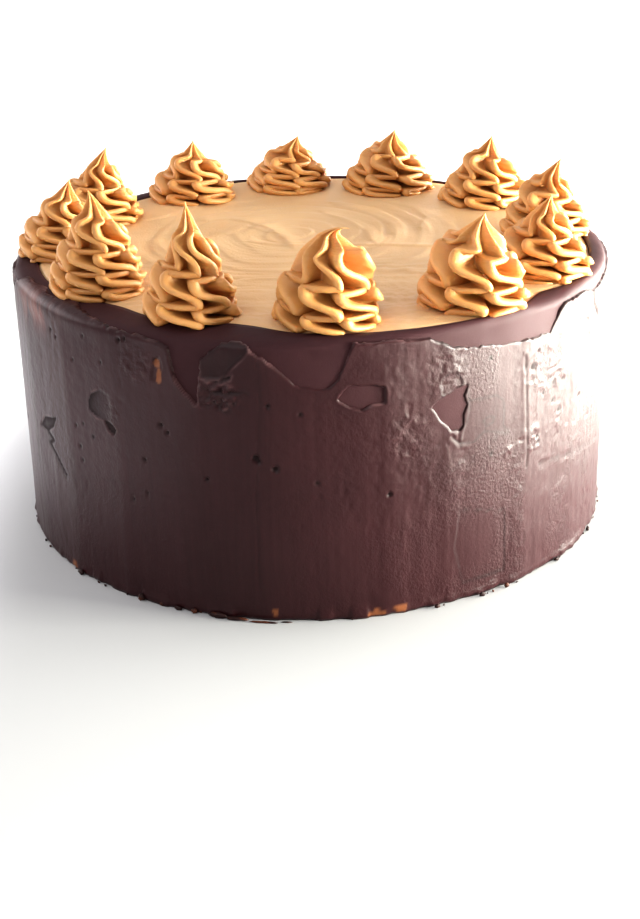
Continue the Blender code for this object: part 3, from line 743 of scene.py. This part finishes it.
SWIRL_RIBS = 7
SWIRL_POWER = 2.1
SWIRL_ROWS = 230
RIB_COLUMNS = 26
GROOVE_DEPTH = 0.55
FOLD_SWING = 0.0062
FOLD_TUCK = 0.0015
RIB_SWELL = 0.0010
FINE_GRAIN = 0.00007
# Half widths from the tip down to the foot, as shares of the swirl's own
OUTLINE_STEPS = (0.0, 0.05, 0.10, 0.20, 0.30, 0.40, 0.50, 0.62, 0.80, 0.93, 1.0)
SLIM_OUTLINE = (0.0, 0.04, 0.08, 0.18, 0.32, 0.46, 0.58, 0.73, 0.92, 1.00, 0.97)
SQUAT_OUTLINE = (0.0, 0.08, 0.15, 0.38, 0.60, 0.75, 0.83, 0.91, 0.99, 1.01, 0.95)
# Each swirl: degrees round the cake, radius of its middle, height, width, slimness, turns, first
# fold, tip lean along x and y, curl of the very tip
SWIRLS = (
    (122.9, 0.0840, 0.0218, 0.0355, 0.90, 3.0, 40.0, 0.0008, 0.0004, 0.0),
    (95.0, 0.0850, 0.0198, 0.0350, 0.85, 3.3, 150.0, 0.0040, 0.0, 0.0),
    (67.9, 0.0862, 0.0222, 0.0385, 0.90, 3.1, 275.0, 0.0025, 0.0008, 0.0),
    (39.0, 0.0880, 0.0245, 0.0358, 0.90, 3.0, 20.0, 0.0023, 0.0, 0.0),
    (5.1, 0.0856, 0.0265, 0.0335, 0.90, 3.3, 120.0, 0.0048, -0.0006, 0.0),
    (332.6, 0.0868, 0.0256, 0.0360, 0.85, 3.4, 142.0, 0.0030, 0.0, 0.0),
    (305.6, 0.0885, 0.0284, 0.0365, 0.25, 2.6, 325.0, 0.0028, 0.0006, 0.0004),
    (273.7, 0.0856, 0.0305, 0.0345, 0.10, 2.6, 146.0, 0.0004, 0.0004, 0.0062),
    (244.4, 0.0868, 0.0360, 0.0315, 1.00, 2.8, 113.0, -0.0001, 0.0, -0.0003),
    (215.0, 0.0852, 0.0330, 0.0330, 0.75, 3.9, 38.0, -0.0006, 0.0004, -0.0008),
    (183.0, 0.0866, 0.0258, 0.0345, 0.85, 3.4, 60.0, 0.0034, 0.0, 0.0),
    (153.8, 0.0885, 0.0270, 0.0338, 0.90, 3.1, 165.0, 0.0046, 0.0004, 0.0),
)
# Swirls whose folds climb two layers in a round, not one
STEEP_SWIRLS = (2, 5)


def rounded_over(points):
    """Each point of a closed grid moved half way to the mean of its four neighbours."""
    above = np.concatenate([points[:1], points[:-1]])
    below = np.concatenate([points[1:], points[-1:]])
    soft = 0.5 * points + 0.125 * (above + below + np.roll(points, 1, 1) + np.roll(points, -1, 1))
    soft[0] = 0.5 * points[0] + 0.25 * (np.roll(points[0], 1, 0) + np.roll(points[0], -1, 0))
    soft[-1] = points[-1]
    return soft


def square_to(points):
    """Unit directions square to a grid of points, facing outwards, from its two tangents."""
    across = np.roll(points, -1, 1) - np.roll(points, 1, 1)
    out = np.cross(across, np.gradient(points, axis=0))
    return out / np.maximum(np.linalg.norm(out, axis=-1, keepdims=True), 1e-12)


def swirl_outline(s, slim):
    """Reach of a swirl from tip to foot: a blend of a slim and a squat outline read between their
    steps, then smoothed by a running mean over a list that is mirrored at both ends."""
    reach = slim * np.interp(s, OUTLINE_STEPS, SLIM_OUTLINE)
    reach = (reach + (1.0 - slim) * np.interp(s, OUTLINE_STEPS, SQUAT_OUTLINE))[:, 0]
    window = np.hanning(19)[1:-1]
    padded = np.concatenate([2.0 * reach[0] - reach[8:0:-1], reach, 2.0 * reach[-1] - reach[-2:-10:-1]])
    return np.maximum(np.convolve(padded, window / window.sum(), "valid")[:, None], 0.012)


def swirl_points(height, width, slim, turns, first, climb, lean_x, lean_y, curl, seed):
    """Rings of a swirl from foot to tip, s being 1 at the foot and 0 at the tip, with a value of painted
    shade for each point, greater the deeper it lies in a crease. The outline gives the reach, and a star
    of seven ribs is cut into it by grooves. Each rib is swung sideways by the sine, flattened at its ends
    so that the bends are round, and drawn in by the cosine, of a phase that turns about three times up the
    swirl, so that it zigzags. The sine also lowers the way out and lifts the way back, which lays
    each layer over the next one. The ribs are then rounded over, swollen a little and given a
    fine grain, and the top leans over with a curl at its very tip."""
    luck = np.random.default_rng(seed).uniform(0.0, ROUND, 12)
    t = np.linspace(0.0, ROUND, RIB_COLUMNS * SWIRL_RIBS, endpoint=False)[None, :]
    s = np.linspace(1.0, 0.004, SWIRL_ROWS)[:, None]
    outline = swirl_outline(s, slim)
    slow = 0.5 * np.sin(2.0 * t + luck[0] + 3.0 * s) + 0.5 * np.sin(3.0 * t + luck[1] - 5.0 * s)
    skew = 0.5 * np.sin(t + luck[2] + 6.0 * s) + 0.5 * np.sin(4.0 * t + luck[3] + 4.0 * s)
    uneven = 0.6 * np.sin(2.0 * t + luck[4] - 7.0 * s) + 0.4 * np.sin(5.0 * t + luck[5] + 9.0 * s)
    phase = math.radians(first) + ROUND * turns * s ** SWIRL_POWER - climb * t + 0.40 * slow
    swing = np.tanh(1.9 * np.sin(phase - 0.1 * np.sin(phase))) / math.tanh(1.9)
    grown = ease((s - 0.20) / 0.22)
    from_rib = 1.0 - 2.0 * np.abs((SWIRL_RIBS * (t + 0.06 * skew) / ROUND) % 1.0 - 0.5)
    rounded = (np.sqrt(from_rib ** 2 + 0.10 ** 2) - 0.10) / (math.sqrt(1.0 + 0.10 ** 2) - 0.10)
    groove = np.sin(0.5 * math.pi * rounded)
    star = 1.0 - GROOVE_DEPTH * (1.0 + 0.15 * uneven) * groove
    pointed = np.clip(s / 0.10, 0.0, 1.0)
    reach = 0.5 * width * outline
    sideways = FOLD_SWING * (1.0 + 0.15 * uneven) * grown * swing * np.sqrt(outline) * (1.0 - 0.25 * groove)
    inwards = FOLD_TUCK * grown * (0.5 - 0.5 * np.cos(phase)) ** 1.2 * (1.0 - 0.5 * groove)
    ribbed = reach * (star * pointed + 0.8 * (1.0 - pointed)) * (1.0 + 0.035 * slow)
    radius = np.maximum(ribbed - inwards, 0.0)
    angle = t + sideways / np.maximum(0.9 * reach, 0.0040)
    pitch = height / (ROUND * turns * SWIRL_POWER * np.maximum(s, 0.15) ** (SWIRL_POWER - 1.0))
    settle = 1.0 - ease((s - 0.92) / 0.08)
    drop = 1.25 * np.minimum(pitch, 0.0026) * np.sin(phase) * grown * settle
    level = height * (1.0 - s) - drop + 0.0 * t
    points = np.stack([radius * np.cos(angle), radius * np.sin(angle), level], axis=-1)
    for _ in range(3):
        points = rounded_over(points)
    swell = RIB_SWELL * (1.0 - groove) ** 1.5 * grown * np.minimum(reach / 0.006, 1.0)
    points = rounded_over(points + square_to(points) * swell[..., None])
    grain = rounded_over(np.random.default_rng(seed + 50).normal(size=(*radius.shape, 1)))[..., 0]
    points = points + square_to(points) * (FINE_GRAIN * grain * np.minimum(reach / 0.004, 1.0))[..., None]
    bend = np.clip((0.5 - s) / 0.5, 0.0, 1.0) ** 2
    hook = np.clip((0.14 - s) / 0.14, 0.0, 1.0) ** 1.5
    leaning = np.stack([lean_x * bend + curl * hook, lean_y * bend, -0.40 * abs(curl) * hook ** 2], axis=-1)
    points = points + leaning
    points[..., 2] = np.maximum(points[..., 2], 0.0)
    # Painted shade, deepest in the grooves and where the folds tuck in
    painted_crease_shade = np.clip(groove ** 1.5 * (0.5 + 0.5 * grown) + 300.0 * inwards, 0.0, 1.0) + 0.0 * s
    return points, painted_crease_shade


PIPED_DEEP = (0.550, 0.258, 0.078)
PIPED_PALE = (0.695, 0.365, 0.125)
PAINTED_CREASE_SHADE = (0.390, 0.150, 0.036)

piped_look, tree, shader = new_material("piped_buttercream")
finish = use_group(tree, butter, {"Tone Size": 110.0, "Grain Size": 1900.0, "Hole Size": 620.0})
colour = blend_colours(tree, finish["Tone"], PIPED_DEEP, PIPED_PALE)
# The creases are darkened towards brown as painted shade
painted_crease_shade = put(tree, "ShaderNodeAttribute", attribute_name="painted_crease_shade").outputs["Fac"]
colour = blend_colours(tree, ranged(tree, painted_crease_shade, 0.0, 0.75), colour, PAINTED_CREASE_SHADE)
relief = calculate(tree, "MULTIPLY_ADD", finish["Holes"], 0.5, finish["Grain"])
dress(tree, shader, colour, ranged(tree, finish["Tone"], 0.40, 0.58), relief, 0.40)
shader.inputs["Subsurface Weight"].default_value = 0.20
shader.inputs["Subsurface Radius"].default_value = (1.0, 0.5, 0.2)
shader.inputs["Subsurface Scale"].default_value = 0.002

SWIRL_SINK = 0.0002
for number, (bearing, ring, height, width, slim, turns, first, *lean) in enumerate(SWIRLS, start=1):
    climb = 2 if number in STEEP_SWIRLS else 1
    rings, painted_crease_shade = swirl_points(height, width, slim, turns, first, climb, *lean, 100 + number)
    seat = TOP_LEVEL - SWIRL_SINK
    rings[..., 2] *= (height + PIECE_GAP + SWIRL_SINK) / height
    centre = (ring * math.cos(math.radians(bearing)), ring * math.sin(math.radians(bearing)))
    rings = rings + (*centre, seat)
    tip = rings[-1].mean(axis=0) + (0.0, 0.0, 0.0001)
    piece = skin("piped_swirl_%02d" % number, rings, (*centre, seat), tip)
    # The painted crease shade is stored on the swirl for the material
    keep_value(piece, "painted_crease_shade", painted_crease_shade)
    piece.data.materials.append(piped_look)
    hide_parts("swirl_%02d" % number)


# The plain pale floor that the cake stands on, with soft daylight from a large window at the
# right and back, a weaker one at the left, and white surroundings. Three lights shine straight
# down beside and behind the cake, and brighten the floor that the coat mirrors.

FLOOR_CORNERS = ((-4.0, -2.0, 0.0), (4.0, -2.0, 0.0), (4.0, 6.0, 0.0), (-4.0, 6.0, 0.0))

floor_mesh = bpy.data.meshes.new("floor")
floor_mesh.from_pydata(FLOOR_CORNERS, [], [(0, 1, 2, 3)])
floor = add_object("floor", floor_mesh)
floor_look, tree, shader = new_material("pale_floor")
shader.inputs["Base Color"].default_value = (0.50, 0.502, 0.508, 1.0)
shader.inputs["Roughness"].default_value = 0.75
shader.inputs["Specular IOR Level"].default_value = 0.2
floor_mesh.materials.append(floor_look)

world = bpy.data.worlds.new("white_surroundings")
world.use_nodes = True
world.node_tree.nodes["Background"].inputs["Color"].default_value = (1.0, 0.99, 0.985, 1.0)
world.node_tree.nodes["Background"].inputs["Strength"].default_value = 0.15
bpy.context.scene.world = world

# Each light: name, place, the point it faces, width, height, power, spread in degrees, colour
LIGHTS = (
    ("window", (1.00, 0.28, 0.15), (0.0, 0.0, 0.05), 0.95, 0.27, 56.0, 180.0, (0.99, 0.985, 0.890)),
    ("near_window", (0.95, -0.26, 0.15), (0.0, 0.0, 0.05), 0.34, 0.27, 27.0, 180.0, (0.98, 0.98, 0.88)),
    ("side_window", (-0.90, 0.45, 0.32), (0.0, 0.0, 0.05), 0.8, 0.5, 5.0, 180.0, (1.0, 0.95, 0.96)),
    ("back_window", (0.75, 1.45, 0.62), (0.1, 0.0, 0.10), 1.4, 1.0, 7.0, 180.0, (1.0, 0.99, 0.98)),
    ("low_sun", (0.56, -0.06, 0.60), (0.56, -0.06, 0.0), 0.60, 0.80, 90.0, 30.0, (0.97, 1.0, 0.87)),
    ("left_light", (-0.21, -0.06, 0.30), (-0.21, -0.06, 0.0), 0.14, 0.50, 0.6, 20.0, (1.0, 0.98, 1.0)),
    ("far_light", (0.0, 1.60, 1.20), (0.0, 1.60, 0.0), 3.0, 1.9, 84.0, 60.0, (1.0, 1.0, 1.0)),
    ("ceiling", (0.0, 0.5, 1.60), (0.0, 0.5, 0.0), 2.6, 2.6, 24.0, 180.0, (1.0, 1.0, 1.0)),
    ("front_fill", (-0.60, -0.80, 0.60), (0.0, 0.0, 0.06), 1.0, 0.8, 5.5, 180.0, (1.0, 0.98, 0.99)),
)

for name, place, aim, wide, tall, power, spread, colour in LIGHTS:
    light = bpy.data.lights.new(name, "AREA")
    light.shape = "RECTANGLE"
    light.size, light.size_y = wide, tall
    light.energy = power
    light.spread = math.radians(spread)
    light.color = colour
    lamp = add_object(name, light)
    lamp.location = place
    lamp.rotation_euler = (Vector(aim) - Vector(place)).to_track_quat("-Z", "Y").to_euler()


# The camera, at the height and angle of the photograph, with a slight roll.

CAMERA_PLACE = (0.0, -0.5748, 0.2597)
PITCH, YAW, ROLL = math.radians(23.39), math.radians(-0.19), 0.0223

camera = bpy.data.cameras.new("camera")
camera.lens = 64.99
camera.sensor_width = 36.0
camera_object = add_object("camera", camera)
look = Matrix.Rotation(YAW, 4, "Z") @ Matrix.Rotation(0.5 * math.pi - PITCH, 4, "X")
camera_object.matrix_world = Matrix.Translation(CAMERA_PLACE) @ look @ Matrix.Rotation(-ROLL, 4, "Z")
bpy.context.scene.camera = camera_object
bpy.context.scene.view_settings.view_transform = "Standard"
bpy.context.scene.view_settings.look = "Medium High Contrast"
